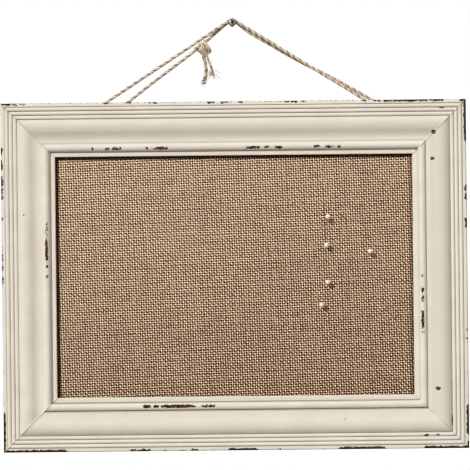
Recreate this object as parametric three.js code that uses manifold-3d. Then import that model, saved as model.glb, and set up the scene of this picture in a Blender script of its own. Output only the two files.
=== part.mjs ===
// Wall-hung pin board: a mitred moulding round a burlap-covered cork panel,
// hung by a twine loop on one screw.
// Millimetres. X runs to the right, Y towards the wall, Z up. The origin is on the wall, on the screw's axis.
import * as THREE from "three";
import { mergeVertices } from "three/addons/utils/BufferGeometryUtils.js";
import Module from "manifold-3d";

const wasm = await Module();
wasm.setup();

// Whole board
const FRAME_WIDTH = 460;
const FRAME_HEIGHT = 345;
const HANG_DROP = 78; // wall end of the screw's axis down to the frame's top edge
const WALL_GAP = 6; // wall to the back of the frame, taken up by twine and staples
const SEAT_CLEARANCE = 0.3; // between pieces that touch on the real board

// Moulding section, from the outer edge in towards the sight edge
const SIDE_ARRIS_RADIUS = 1.6;
const BAND_WIDTH = 4;
const BAND_RISE = 0.8; // outer band above the grooves
const BAND_EASE = 0.6; // chamfer of the band into the first groove
const GROOVE_HEIGHT = 18; // bottom of the grooves above the back
const REED_COUNT = 3;
const REED_PITCH = 4.1;
const REED_RISE = 1.9;
const CREST_HEIGHT = 23.5; // thickness of the moulding at its crest
const DOME_RADIUS = 8.5;
const DOME_SWEEP = 65; // degrees from the last groove up to the crest
const SHOULDER_RADIUS = 13;
const SHOULDER_SWEEP = 30; // degrees of fall, the steepest part of the field
const COVE_RADIUS = 16;
const TROUGH_FLAT = 2.2;
const BEAD_RADIUS = 3.9;
const BEAD_SINK = 0.6; // bead's centre below the trough
const QUIRK_ANGLE = 5; // degrees the bead turns under beside the lip
const QUIRK_DEPTH = 0.2;
const LIP_WIDTH = 5;
const LIP_THICKNESS = 4.5;
const LIP_EDGE_RADIUS = 0.8;
const RABBET_WIDTH = 6;
const MITRE_GAP = 0.3;

// Panel in the rabbet, from the lip to the back
const PANEL_PLAY = 0.4; // per side in the rabbet
const PANEL_CORNER_RADIUS = 2;
const BURLAP_THICKNESS = 0.8;
const BURLAP_HEM = 22;
const CORK_THICKNESS = 5.5;
const BOARD_THICKNESS = 3;

// Flexible points that hold the panel
const POINT_THICKNESS = 0.5;
const POINT_WIDTH = 6;
const POINT_TIP = 4;
const POINT_DRIVEN = 7; // length inside the rail
const POINT_SHOWN = 11; // length over the hardboard
const POINT_CORNER_DISTANCE = 62;

// Wedges across the mitres
const WEDGE_INSETS = { outer: 12, inner: 34 };
const WEDGE_WING = 5;
const WEDGE_THICKNESS = 0.6;
const WEDGE_HEIGHT = 10;
const WEDGE_RECESS = 0.5; // below the back of the frame

// Brads in the face of the right stile, measured from the middle of the frame
const BRADS = {
  mitre: { inset: 32.4, z: 140.1 },
  upper: { inset: 33.9, z: 113.8 },
  lower: { inset: 30.5, z: -113 },
};
const BRAD_HEAD_DIAMETER = 2.8;
const BRAD_HEAD_THICKNESS = 0.9;
const BRAD_SHANK_DIAMETER = 1.4;
const BRAD_LENGTH = 16;
const BRAD_COUNTERSINK = 0.5; // head below the painted face
const BRAD_POINT = 2;

// Map pins, each as its distance in from the right sight edge and its height from the middle of the frame
const PINS = [
  [84, 57.5],
  [85.7, 29.4],
  [42.8, 22.8],
  [84.9, -7.2],
  [91.1, -29.4],
];
const PIN_HEAD_DIAMETER = 5;
const PIN_FOOT_DIAMETER = 2.6; // flat of the head round the needle
const PIN_NEEDLE_DIAMETER = 1;
const PIN_NEEDLE_POINT = 2.4;
const PIN_STAND_OFF = 3.4; // head's foot in front of the burlap
const PIN_DEPTH = 5.4; // needle's tip behind the burlap's face
const PIN_SOCKET_DEPTH = 3;
const PIN_HOLE_CLEARANCE = 0.3;

// Screw in the wall
const SCREW_SLANT = 10; // degrees upwards out of the wall
const SCREW_SHANK_DIAMETER = 3.5;
const SCREW_SHOWN = 9.4; // wall to the underside of the head, along the axis
const SCREW_BURIED = 26;
const SCREW_POINT = 5;
const SCREW_HEAD_DIAMETER = 8;
const SCREW_HEAD_HEIGHT = 3;
const SCREW_HEAD_RIM = 1.1;
const RECESS_SPAN = 5.8;
const RECESS_WIDTH = 1.5;
const RECESS_DEPTH = 1.8;
const RECESS_TAPER = 0.45; // share of the span left at the bottom

// Twine and its staples
const TWINE_DIAMETER = 3;
const TWINE_CLEARANCE = 0.45; // off the back of the frame
const TWINE_STEPS_PER_SPAN = 2;
const WALL_PASS_Y = -1.65; // pass over the screw nearer the wall
const FRONT_PASS_Y = -5.45; // pass nearer the screw's head
const PASS_BEND_RADIUS = 6.4;
const PAIR_PITCH = 3.41; // between the two strands under one staple
const STAPLE_WIRE = 0.9;
const STAPLE_WIRE_WIDTH = 1.2;
const STAPLE_LEG = 8;
const STAPLE_CHISEL = 1;
const KNOT_HALF_SIZES = [7.5, 4.2, 5.2]; // along the strand, towards the wall, across the strand
const KNOT_CENTRE = [-28.9, -4.6, -24.1];
const KNOT_SLOPE = 37.4; // degrees

// Facets
const ARC_STEPS = 8;
const ROUND_SIDES = 16;
const FINE_SIDES = 10;
const OVERCUT = 1; // how far a cutter runs past an open face
const MERGE_TOLERANCE = 1e-4;

const rad = THREE.MathUtils.degToRad;
const TOP_EDGE_Z = -HANG_DROP;
const FRAME_CENTRE_Z = TOP_EDGE_Z - FRAME_HEIGHT / 2;

const finish = (color, roughness, metalness = 0) =>
  new THREE.MeshStandardMaterial({ color, roughness, metalness });
const creamPaint = finish("#dad3c3", 0.6);
const burlap = finish("#b2987c", 0.95);
const cork = finish("#b98a58", 0.9);
const hardboard = finish("#7a5638", 0.8);
const jute = finish("#cbb48f", 0.95);
const pinPlastic = finish("#f5eee4", 0.25);
const brightSteel = finish("#b5b8bb", 0.35, 1);
const zincSteel = finish("#787d82", 0.4, 1);
const rustySteel = finish("#6b4a35", 0.75, 0.6);

// Solids
function toManifold(geometry) {
  const bare = geometry.clone();
  bare.deleteAttribute("normal");
  bare.deleteAttribute("uv");
  const merged = mergeVertices(bare, MERGE_TOLERANCE);
  const vertProperties = Float32Array.from(merged.attributes.position.array);
  const triVerts = Uint32Array.from(merged.index.array);
  return new wasm.Manifold(new wasm.Mesh({ numProp: 3, vertProperties, triVerts }));
}

function cut(geometry, cutters) {
  let body = toManifold(geometry);
  for (const cutter of cutters) {
    body = body.subtract(toManifold(cutter));
  }
  const mesh = body.getMesh();
  const result = new THREE.BufferGeometry();
  result.setAttribute("position", new THREE.BufferAttribute(mesh.vertProperties, 3));
  result.setIndex(new THREE.BufferAttribute(mesh.triVerts, 1));
  result.computeVertexNormals();
  return result;
}

function extrude(points, depth) {
  return new THREE.ExtrudeGeometry(new THREE.Shape(points), { depth, bevelEnabled: false });
}

// A flat outline in the board's X and Z, from one height above the frame's back to another.
function plate(points, fromHeight, toHeight) {
  const geometry = extrude(points, toHeight - fromHeight);
  const upright = new THREE.Matrix4().makeBasis(
    new THREE.Vector3(1, 0, 0),
    new THREE.Vector3(0, 0, 1),
    new THREE.Vector3(0, -1, 0),
  );
  return geometry.applyMatrix4(upright).translate(0, -fromHeight, 0);
}

// A turned piece whose axis runs out of the board's face. Each point of its section is [radius, height].
function turned(section, sides) {
  const points = section.map(([radius, height]) => new THREE.Vector2(radius, height));
  return new THREE.LatheGeometry(points, sides).rotateX(Math.PI);
}

function drum(diameter, fromHeight, toHeight, sides = FINE_SIDES) {
  const radius = diameter / 2;
  return turned([[0, fromHeight], [radius, fromHeight], [radius, toHeight], [0, toHeight]], sides);
}

function arc(centreX, centreY, radius, fromDegrees, toDegrees, steps = ARC_STEPS) {
  const points = [];
  for (let i = 0; i <= steps; i++) {
    const angle = rad(fromDegrees + ((toDegrees - fromDegrees) * i) / steps);
    points.push(new THREE.Vector2(centreX + radius * Math.cos(angle), centreY + radius * Math.sin(angle)));
  }
  return points;
}

function roundedRectangle(width, height, radius) {
  const x = width / 2 - radius;
  const y = height / 2 - radius;
  return [
    ...arc(x, y, radius, 0, 90),
    ...arc(-x, y, radius, 90, 180),
    ...arc(-x, -y, radius, 180, 270),
    ...arc(x, -y, radius, 270, 360),
  ];
}

// Moulding section
// An arch that stands on a base line, from one place across the rail to the next.
function arch(start, width, base, rise) {
  const radius = (width * width) / 4 / (2 * rise) + rise / 2;
  const half = THREE.MathUtils.radToDeg(Math.acos((radius - rise) / radius));
  return arc(start + width / 2, base + rise - radius, radius, 90 + half, 90 - half);
}

// The painted face, as distance in from the outer edge against height above the back.
function mouldingFace() {
  const bandHeight = GROOVE_HEIGHT + BAND_RISE;
  const face = arc(SIDE_ARRIS_RADIUS, bandHeight - SIDE_ARRIS_RADIUS, SIDE_ARRIS_RADIUS, 180, 90);
  face.push(new THREE.Vector2(BAND_WIDTH - BAND_EASE, bandHeight));
  for (let i = 0; i < REED_COUNT; i++) {
    face.push(...arch(BAND_WIDTH + i * REED_PITCH, REED_PITCH, GROOVE_HEIGHT, REED_RISE));
  }
  const fieldStart = BAND_WIDTH + REED_COUNT * REED_PITCH;
  const crest = fieldStart + DOME_RADIUS * Math.sin(rad(DOME_SWEEP));
  face.push(...arc(crest, CREST_HEIGHT - DOME_RADIUS, DOME_RADIUS, 90 + DOME_SWEEP, 90));
  const shoulder = arc(crest, CREST_HEIGHT - SHOULDER_RADIUS, SHOULDER_RADIUS, 90, 90 - SHOULDER_SWEEP);
  face.push(...shoulder.slice(1));
  const troughStart = crest + (SHOULDER_RADIUS + COVE_RADIUS) * Math.sin(rad(SHOULDER_SWEEP));
  const fall = (SHOULDER_RADIUS + COVE_RADIUS) * (1 - Math.cos(rad(SHOULDER_SWEEP)));
  const troughHeight = CREST_HEIGHT - fall;
  const cove = arc(troughStart, troughHeight + COVE_RADIUS, COVE_RADIUS, 270 - SHOULDER_SWEEP, 270);
  face.push(...cove.slice(1));
  const sinkAngle = THREE.MathUtils.radToDeg(Math.asin(BEAD_SINK / BEAD_RADIUS));
  const beadCentre = troughStart + TROUGH_FLAT + BEAD_RADIUS * Math.cos(rad(sinkAngle));
  const beadHeight = troughHeight - BEAD_SINK;
  face.push(...arc(beadCentre, beadHeight, BEAD_RADIUS, 180 - sinkAngle, -QUIRK_ANGLE, 2 * ARC_STEPS));
  const quirk = face.at(-1);
  const lipHeight = quirk.y - QUIRK_DEPTH;
  face.push(new THREE.Vector2(quirk.x, lipHeight));
  const sightEdge = quirk.x + LIP_WIDTH;
  face.push(...arc(sightEdge - LIP_EDGE_RADIUS, lipHeight - LIP_EDGE_RADIUS, LIP_EDGE_RADIUS, 90, 0));
  return { face, lipHeight, railWidth: sightEdge };
}

const { face: FACE, lipHeight: LIP_HEIGHT, railWidth: RAIL_WIDTH } = mouldingFace();
const SEAT_HEIGHT = LIP_HEIGHT - LIP_THICKNESS;
const RABBET_WALL = RAIL_WIDTH - RABBET_WIDTH;
const PIN_PLACES = PINS.map(([inset, z]) => [FRAME_WIDTH / 2 - RAIL_WIDTH - inset, z]);
const RABBET_LENGTH = FRAME_WIDTH - 2 * RABBET_WALL;
const RABBET_BREADTH = FRAME_HEIGHT - 2 * RABBET_WALL;

function faceHeightAt(inset) {
  const next = FACE.findIndex((point) => point.x > inset);
  const before = FACE[next - 1];
  const share = (inset - before.x) / (FACE[next].x - before.x);
  return before.y + share * (FACE[next].y - before.y);
}

// One length of moulding with both ends mitred, its outer edge turned to the given angle about Y.
function rail(length, reach, angle) {
  const section = [
    new THREE.Vector2(0, 0),
    ...FACE,
    new THREE.Vector2(RAIL_WIDTH, SEAT_HEIGHT),
    new THREE.Vector2(RABBET_WALL, SEAT_HEIGHT),
    new THREE.Vector2(RABBET_WALL, 0),
  ];
  const outline = section.map(({ x: inset, y: height }) => new THREE.Vector2(-inset, height));
  const lengthways = new THREE.Matrix4().makeBasis(
    new THREE.Vector3(0, 0, 1),
    new THREE.Vector3(0, -1, 0),
    new THREE.Vector3(1, 0, 0),
  );
  const geometry = extrude(outline, 1).applyMatrix4(lengthways);
  const position = geometry.attributes.position;
  for (let i = 0; i < position.count; i++) {
    const inset = -position.getZ(i);
    const end = 2 * position.getX(i) - 1;
    position.setX(i, end * (length / 2 - inset - MITRE_GAP * Math.SQRT1_2));
    position.setZ(i, reach - inset);
  }
  return geometry.rotateY(angle);
}

const SIDES = {
  top: { angle: 0, length: FRAME_WIDTH, reach: FRAME_HEIGHT / 2 },
  right: { angle: Math.PI / 2, length: FRAME_HEIGHT, reach: FRAME_WIDTH / 2 },
  bottom: { angle: Math.PI, length: FRAME_WIDTH, reach: FRAME_HEIGHT / 2 },
  left: { angle: -Math.PI / 2, length: FRAME_HEIGHT, reach: FRAME_WIDTH / 2 },
};

// Fasteners of the frame. Each gives its own solid and the seats that it needs in the rails.
function wedgeOutline(grow) {
  const thickness = WEDGE_THICKNESS + 2 * grow;
  const wing = (WEDGE_WING + grow) * Math.SQRT1_2;
  const tip = thickness * Math.SQRT1_2;
  return [
    new THREE.Vector2(tip, 0),
    new THREE.Vector2(tip - wing, wing),
    new THREE.Vector2(-wing, wing - tip),
    new THREE.Vector2(-tip, 0),
    new THREE.Vector2(-wing, tip - wing),
    new THREE.Vector2(tip - wing, -wing),
  ];
}

function wedges() {
  const corners = {
    top_right: [1, 1],
    top_left: [-1, 1],
    bottom_left: [-1, -1],
    bottom_right: [1, -1],
  };
  const made = [];
  for (const [corner, [sideX, sideZ]] of Object.entries(corners)) {
    for (const [place, inset] of Object.entries(WEDGE_INSETS)) {
      const turn = -Math.atan2(sideZ, sideX);
      const x = sideX * (FRAME_WIDTH / 2 - inset);
      const z = sideZ * (FRAME_HEIGHT / 2 - inset);
      const top = WEDGE_RECESS + WEDGE_HEIGHT;
      const solid = plate(wedgeOutline(0), WEDGE_RECESS, top).rotateY(turn).translate(x, 0, z);
      const seat = plate(wedgeOutline(SEAT_CLEARANCE), -OVERCUT, top + SEAT_CLEARANCE);
      seat.rotateY(turn).translate(x, 0, z);
      made.push({ name: `v_nail_${corner}_${place}`, solid, seats: [seat] });
    }
  }
  return made;
}

function brads() {
  const made = [];
  for (const [place, { inset, z }] of Object.entries(BRADS)) {
    const x = FRAME_WIDTH / 2 - inset;
    const top = faceHeightAt(inset) - BRAD_COUNTERSINK;
    const head = BRAD_HEAD_DIAMETER / 2;
    const shank = BRAD_SHANK_DIAMETER / 2;
    const tip = top - BRAD_LENGTH;
    const section = [
      [0, tip],
      [shank, tip + BRAD_POINT],
      [shank, top - BRAD_HEAD_THICKNESS],
      [head, top - BRAD_HEAD_THICKNESS / 2],
      [head, top],
      [0, top],
    ];
    const solid = turned(section, FINE_SIDES).translate(x, 0, z);
    const headSeat = drum(
      BRAD_HEAD_DIAMETER + 2 * SEAT_CLEARANCE,
      top - BRAD_HEAD_THICKNESS - SEAT_CLEARANCE,
      CREST_HEIGHT + OVERCUT,
    );
    const shankSeat = drum(BRAD_SHANK_DIAMETER + 2 * SEAT_CLEARANCE, tip - SEAT_CLEARANCE, top);
    const seats = [headSeat.translate(x, 0, z), shankSeat.translate(x, 0, z)];
    made.push({ name: `brad_${place}`, solid, seats });
  }
  return made;
}

// Heights of the panel's layers above the back of the frame, from the lip backwards.
const BURLAP_FRONT = SEAT_HEIGHT - SEAT_CLEARANCE;
const CORK_FRONT = BURLAP_FRONT - BURLAP_THICKNESS - SEAT_CLEARANCE;
const CORK_BACK = CORK_FRONT - CORK_THICKNESS;
const HEM_FRONT = CORK_BACK - SEAT_CLEARANCE;
const HEM_BACK = HEM_FRONT - BURLAP_THICKNESS;
const BOARD_FRONT = HEM_BACK - SEAT_CLEARANCE;
const BOARD_BACK = BOARD_FRONT - BOARD_THICKNESS;
const POINT_FRONT = BOARD_BACK - SEAT_CLEARANCE;
const POINT_BACK = POINT_FRONT - POINT_THICKNESS;

function pointOutline(grow) {
  const half = POINT_WIDTH / 2 + grow;
  const driven = POINT_DRIVEN + grow;
  return [
    new THREE.Vector2(half, -POINT_SHOWN + half),
    new THREE.Vector2(half, driven - POINT_TIP),
    new THREE.Vector2(0, driven),
    new THREE.Vector2(-half, driven - POINT_TIP),
    ...arc(0, -POINT_SHOWN + half, half, 180, 360).slice(0, -1),
  ];
}

function points() {
  const made = [];
  for (const [side, { angle, length, reach }] of Object.entries(SIDES)) {
    const offset = length / 2 - RABBET_WALL - POINT_CORNER_DISTANCE;
    [-offset, offset].forEach((along, i) => {
      const wall = reach - RABBET_WALL;
      const solid = plate(pointOutline(0), POINT_BACK, POINT_FRONT);
      solid.translate(along, 0, wall).rotateY(angle);
      const seatBack = POINT_BACK - SEAT_CLEARANCE;
      const seat = plate(pointOutline(SEAT_CLEARANCE), seatBack, POINT_FRONT + SEAT_CLEARANCE);
      seat.translate(along, 0, wall).rotateY(angle);
      made.push({ name: `point_${side}_${i + 1}`, solid, seats: [seat] });
    });
  }
  return made;
}

// Staples lie across the twine. Places are across from the middle and down from the frame's top edge.
const STAPLES = {
  left_upper: { x: -141.5, below: 7.7, heading: 32.6, strands: 1 },
  left_lower: { x: -135.5, below: 21.6, heading: 37.4, strands: 1 },
  right_pair: { x: 151.8, below: 8.5, heading: -30.8, strands: 2 },
  right_loop: { x: 171.1, below: 20.1, heading: 59.3, strands: 1 },
};

function staples() {
  const stand = TWINE_CLEARANCE + TWINE_DIAMETER + SEAT_CLEARANCE;
  const made = [];
  for (const [place, { x, below, heading, strands }] of Object.entries(STAPLES)) {
    const inside = ((strands - 1) * PAIR_PITCH + TWINE_DIAMETER) / 2 + SEAT_CLEARANCE;
    const outside = inside + STAPLE_WIRE;
    const outline = [
      new THREE.Vector2(-inside, stand),
      new THREE.Vector2(-inside, STAPLE_CHISEL - STAPLE_LEG),
      new THREE.Vector2(-outside, -STAPLE_LEG),
      ...arc(-inside, stand, STAPLE_WIRE, 180, 90),
      ...arc(inside, stand, STAPLE_WIRE, 90, 0),
      new THREE.Vector2(outside, -STAPLE_LEG),
      new THREE.Vector2(inside, STAPLE_CHISEL - STAPLE_LEG),
      new THREE.Vector2(inside, stand),
    ];
    const across = new THREE.Vector3(-Math.sin(rad(heading)), 0, Math.cos(rad(heading)));
    const back = new THREE.Vector3(0, 1, 0);
    const along = new THREE.Vector3().crossVectors(across, back);
    const lie = new THREE.Matrix4().makeBasis(across, back, along);
    const z = FRAME_HEIGHT / 2 - below;
    const solid = extrude(outline, STAPLE_WIRE_WIDTH).translate(0, 0, -STAPLE_WIRE_WIDTH / 2);
    solid.applyMatrix4(lie).translate(x, 0, z);
    const seats = [-1, 1].map((side) => {
      const size = STAPLE_WIRE + 2 * SEAT_CLEARANCE;
      const depth = STAPLE_LEG + SEAT_CLEARANCE + OVERCUT;
      const hole = new THREE.BoxGeometry(size, depth, STAPLE_WIRE_WIDTH + 2 * SEAT_CLEARANCE);
      hole.translate((side * (inside + outside)) / 2, OVERCUT - depth / 2, 0);
      return hole.applyMatrix4(lie).translate(x, 0, z);
    });
    made.push({ name: `staple_${place}`, solid, seats });
  }
  return made;
}

// Panel
const PANEL_LENGTH = RABBET_LENGTH - 2 * PANEL_PLAY;
const PANEL_BREADTH = RABBET_BREADTH - 2 * PANEL_PLAY;

function pinHoles(diameter, fromHeight, toHeight) {
  return PIN_PLACES.map(([x, z]) => drum(diameter, fromHeight, toHeight).translate(x, 0, z));
}

function panelOutline(inset) {
  const radius = Math.max(PANEL_CORNER_RADIUS - inset, SEAT_CLEARANCE);
  return roundedRectangle(PANEL_LENGTH - 2 * inset, PANEL_BREADTH - 2 * inset, radius);
}

const PIN_HOLE_DIAMETER = PIN_NEEDLE_DIAMETER + 2 * PIN_HOLE_CLEARANCE;
const PIN_TIP_HEIGHT = BURLAP_FRONT - PIN_DEPTH;

function burlapCover() {
  const wrap = plate(panelOutline(0), HEM_BACK, BURLAP_FRONT);
  const core = plate(panelOutline(BURLAP_THICKNESS), HEM_FRONT, BURLAP_FRONT - BURLAP_THICKNESS);
  const opening = plate(panelOutline(BURLAP_HEM), HEM_BACK - OVERCUT, HEM_FRONT + OVERCUT);
  const holes = pinHoles(PIN_HOLE_DIAMETER, CORK_FRONT, BURLAP_FRONT + OVERCUT);
  return cut(wrap, [core, opening, ...holes]);
}

function corkSheet() {
  const sheet = plate(panelOutline(BURLAP_THICKNESS + SEAT_CLEARANCE), CORK_BACK, CORK_FRONT);
  return cut(sheet, pinHoles(PIN_HOLE_DIAMETER, PIN_TIP_HEIGHT - PIN_HOLE_CLEARANCE, CORK_FRONT + OVERCUT));
}

function hardboardBack() {
  return plate(panelOutline(0), BOARD_BACK, BOARD_FRONT);
}

// Pins
const PIN_FOOT_HEIGHT = BURLAP_FRONT + PIN_STAND_OFF;

function pinHead() {
  const radius = PIN_HEAD_DIAMETER / 2;
  const footDegrees = THREE.MathUtils.radToDeg(Math.asin(PIN_FOOT_DIAMETER / PIN_HEAD_DIAMETER));
  const centre = PIN_FOOT_HEIGHT + radius * Math.cos(rad(footDegrees));
  const ball = arc(0, centre, radius, footDegrees - 90, 90, FINE_SIDES).map(({ x, y }) => [x, y]);
  ball[ball.length - 1][0] = 0;
  const head = turned([[0, PIN_FOOT_HEIGHT], ...ball], ROUND_SIDES);
  const socketEnd = PIN_FOOT_HEIGHT + PIN_SOCKET_DEPTH + SEAT_CLEARANCE;
  return cut(head, [drum(PIN_HOLE_DIAMETER, PIN_FOOT_HEIGHT - OVERCUT, socketEnd)]);
}

function pinNeedle() {
  const radius = PIN_NEEDLE_DIAMETER / 2;
  const end = PIN_FOOT_HEIGHT + PIN_SOCKET_DEPTH;
  const shoulder = PIN_TIP_HEIGHT + PIN_NEEDLE_POINT;
  return turned([[0, PIN_TIP_HEIGHT], [radius, shoulder], [radius, end], [0, end]], FINE_SIDES);
}

// Screw
function recessBar() {
  const bar = new THREE.BoxGeometry(RECESS_SPAN, RECESS_DEPTH + OVERCUT, RECESS_WIDTH);
  const position = bar.attributes.position;
  for (let i = 0; i < position.count; i++) {
    if (position.getY(i) < 0) {
      position.setX(i, position.getX(i) * RECESS_TAPER);
    }
  }
  const top = SCREW_SHOWN + SCREW_HEAD_HEIGHT + OVERCUT;
  return bar.translate(0, top - (RECESS_DEPTH + OVERCUT) / 2, 0);
}

function wallScrew() {
  const shank = SCREW_SHANK_DIAMETER / 2;
  const head = SCREW_HEAD_DIAMETER / 2;
  const crownRise = SCREW_HEAD_HEIGHT - SCREW_HEAD_RIM;
  const section = [
    new THREE.Vector2(0, -SCREW_BURIED),
    new THREE.Vector2(shank, SCREW_POINT - SCREW_BURIED),
    new THREE.Vector2(shank, SCREW_SHOWN),
    new THREE.Vector2(head, SCREW_SHOWN),
  ];
  for (let i = 0; i <= ARC_STEPS; i++) {
    const angle = ((Math.PI / 2) * i) / ARC_STEPS;
    const radius = i === ARC_STEPS ? 0 : head * Math.cos(angle);
    section.push(new THREE.Vector2(radius, SCREW_SHOWN + SCREW_HEAD_RIM + crownRise * Math.sin(angle)));
  }
  const blank = new THREE.LatheGeometry(section, ROUND_SIDES);
  return cut(blank, [recessBar(), recessBar().rotateY(Math.PI / 2)]);
}

// Twine
// A curve that gives each span between two of its points the same number of steps, so bends get short ones.
class RouteCurve extends THREE.CatmullRomCurve3 {
  getUtoTmapping(share) {
    return share;
  }
}

const TWINE_BACK_Y = -WALL_GAP + TWINE_CLEARANCE + TWINE_DIAMETER / 2;

const behindRail = (x, below) => [x, TWINE_BACK_Y, TOP_EDGE_Z - below];

// The twine's pass over the slanted screw, between two sides that fall away at the given slopes.
function overScrew(y, leftSlope, rightSlope) {
  const slant = rad(SCREW_SLANT);
  const lift = (SCREW_SHANK_DIAMETER / 2 + SEAT_CLEARANCE + TWINE_DIAMETER / 2) / Math.cos(slant);
  const apex = -y * Math.tan(slant) + lift;
  return [-leftSlope, 0, rightSlope].map((slope) => {
    const drop = PASS_BEND_RADIUS * (1 - Math.cos(rad(slope)));
    return [PASS_BEND_RADIUS * Math.sin(rad(slope)), y, apex - drop];
  });
}

const TWINE_ROUTE = [
  [-36.9, -3.6, -25.2],
  [-75, -3.6, -53.3],
  behindRail(-105.3, -1.5),
  behindRail(-133.9, 20.4),
  behindRail(-140.2, 25.2),
  behindRail(-146.3, 25),
  behindRail(-150.4, 20.5),
  behindRail(-150.2, 14.5),
  behindRail(-145.7, 10.4),
  behindRail(-139.8, 6.6),
  behindRail(-127.2, -1.5),
  [-65, -5, -36.3],
  [-10, FRONT_PASS_Y, -0.63],
  ...overScrew(FRONT_PASS_Y, 32.6, 31.6),
  [10, FRONT_PASS_Y, -0.47],
  [40, FRONT_PASS_Y, -19.2],
  [75, FRONT_PASS_Y, -40.97],
  [105, -4.6, -59.61],
  behindRail(132.2, -1.5),
  behindRail(150.9, 10),
  behindRail(157.3, 14.9),
  behindRail(162.2, 22.4),
  behindRail(167.1, 23.1),
  behindRail(171.1, 20.1),
  behindRail(171.8, 15.2),
  behindRail(168.8, 11.2),
  behindRail(160, 10.5),
  behindRail(152.7, 7.1),
  behindRail(138.9, -1.5),
  [95, WALL_PASS_Y, -51.2],
  [70, WALL_PASS_Y, -38.6],
  [40, WALL_PASS_Y, -21.3],
  [16, WALL_PASS_Y, -6.9],
  ...overScrew(WALL_PASS_Y, 37.4, 29.8).reverse(),
  [-12, -2.2, -3.76],
  [-25.7, -3.4, -16],
];
const TAIL_ROUTES = {
  left: [[-29.2, -3.2, -30.6], [-27.2, -3, -39], [-26.7, -3, -49.2], [-29.9, -3, -59.9]],
  right: [[-26.4, -5.9, -29.75], [-23.5, -6.4, -36.6], [-21, -6.4, -44.1], [-20.6, -6.2, -54.4]],
};

function twineAlong(route) {
  const path = new RouteCurve(route.map((place) => new THREE.Vector3(...place)), false, "centripetal");
  const section = new THREE.Shape().absarc(0, 0, TWINE_DIAMETER / 2, 0, 2 * Math.PI);
  const steps = (route.length - 1) * TWINE_STEPS_PER_SPAN;
  return new THREE.ExtrudeGeometry(section, { steps, curveSegments: 4, extrudePath: path });
}

function twineKnot() {
  return new THREE.SphereGeometry(1, ROUND_SIDES, FINE_SIDES).scale(...KNOT_HALF_SIZES);
}

// Assembly
const part = new THREE.Group();
const board = new THREE.Group();
board.position.set(0, -WALL_GAP, FRAME_CENTRE_Z);
part.add(board);

function addPiece(parent, name, geometry, material) {
  const piece = new THREE.Mesh(geometry, material);
  piece.name = name;
  parent.add(piece);
  return piece;
}

const frameFasteners = [...wedges(), ...points(), ...staples(), ...brads()];
const railSeats = frameFasteners.flatMap(({ seats }) => seats);
const RAIL_NAMES = { top: "top_rail", right: "right_stile", bottom: "bottom_rail", left: "left_stile" };
for (const [side, { angle, length, reach }] of Object.entries(SIDES)) {
  addPiece(board, RAIL_NAMES[side], cut(rail(length, reach, angle), railSeats), creamPaint);
}
for (const { name, solid } of frameFasteners) {
  addPiece(board, name, solid, name.startsWith("brad") ? rustySteel : brightSteel);
}

addPiece(board, "burlap_cover", burlapCover(), burlap);
addPiece(board, "cork_sheet", corkSheet(), cork);
addPiece(board, "hardboard_back", hardboardBack(), hardboard);

PIN_PLACES.forEach(([x, z], i) => {
  addPiece(board, `pin_head_${i + 1}`, pinHead(), pinPlastic).position.set(x, 0, z);
  addPiece(board, `pin_needle_${i + 1}`, pinNeedle(), brightSteel).position.set(x, 0, z);
});

addPiece(part, "hanging_twine", twineAlong(TWINE_ROUTE), jute);
const knot = addPiece(part, "twine_knot", twineKnot(), jute);
knot.position.set(...KNOT_CENTRE);
knot.rotation.y = -rad(KNOT_SLOPE);
for (const [side, route] of Object.entries(TAIL_ROUTES)) {
  addPiece(part, `twine_tail_${side}`, twineAlong(route), jute);
}

addPiece(part, "wall_screw", wallScrew(), zincSteel).rotation.x = Math.PI - rad(SCREW_SLANT);

export default part;
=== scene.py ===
"""Looks of the wall-hung pin board: painted moulding, burlap over cork, twine, map pins and fixings.

Metres. X runs to the right, Y towards the wall, Z up. The origin is on the wall, on the screw's axis.
"""

import math

import bpy
import numpy as np
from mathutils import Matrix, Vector


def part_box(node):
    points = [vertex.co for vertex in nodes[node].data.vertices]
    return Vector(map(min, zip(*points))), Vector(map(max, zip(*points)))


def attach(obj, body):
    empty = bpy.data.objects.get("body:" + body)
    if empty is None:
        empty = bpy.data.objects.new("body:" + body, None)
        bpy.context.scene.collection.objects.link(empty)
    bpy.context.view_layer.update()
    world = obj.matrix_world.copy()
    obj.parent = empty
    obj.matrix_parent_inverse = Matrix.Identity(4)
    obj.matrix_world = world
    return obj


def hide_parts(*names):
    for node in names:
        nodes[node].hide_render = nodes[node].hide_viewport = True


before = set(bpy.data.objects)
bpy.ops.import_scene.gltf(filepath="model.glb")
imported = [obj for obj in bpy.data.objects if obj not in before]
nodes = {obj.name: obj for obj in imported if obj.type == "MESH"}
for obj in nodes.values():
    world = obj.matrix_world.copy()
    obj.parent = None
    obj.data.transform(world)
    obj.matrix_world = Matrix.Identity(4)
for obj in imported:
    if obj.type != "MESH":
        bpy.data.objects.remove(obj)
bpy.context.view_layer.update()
chance = np.random.default_rng(11)

MM = 0.001

# Whole board
FRAME_WIDTH = 460 * MM
FRAME_HEIGHT = 345 * MM
TOP_EDGE = -78 * MM
FRAME_CENTRE = TOP_EDGE - FRAME_HEIGHT / 2
BACK_PLANE = -6 * MM  # the frame's back, in front of the wall

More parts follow.
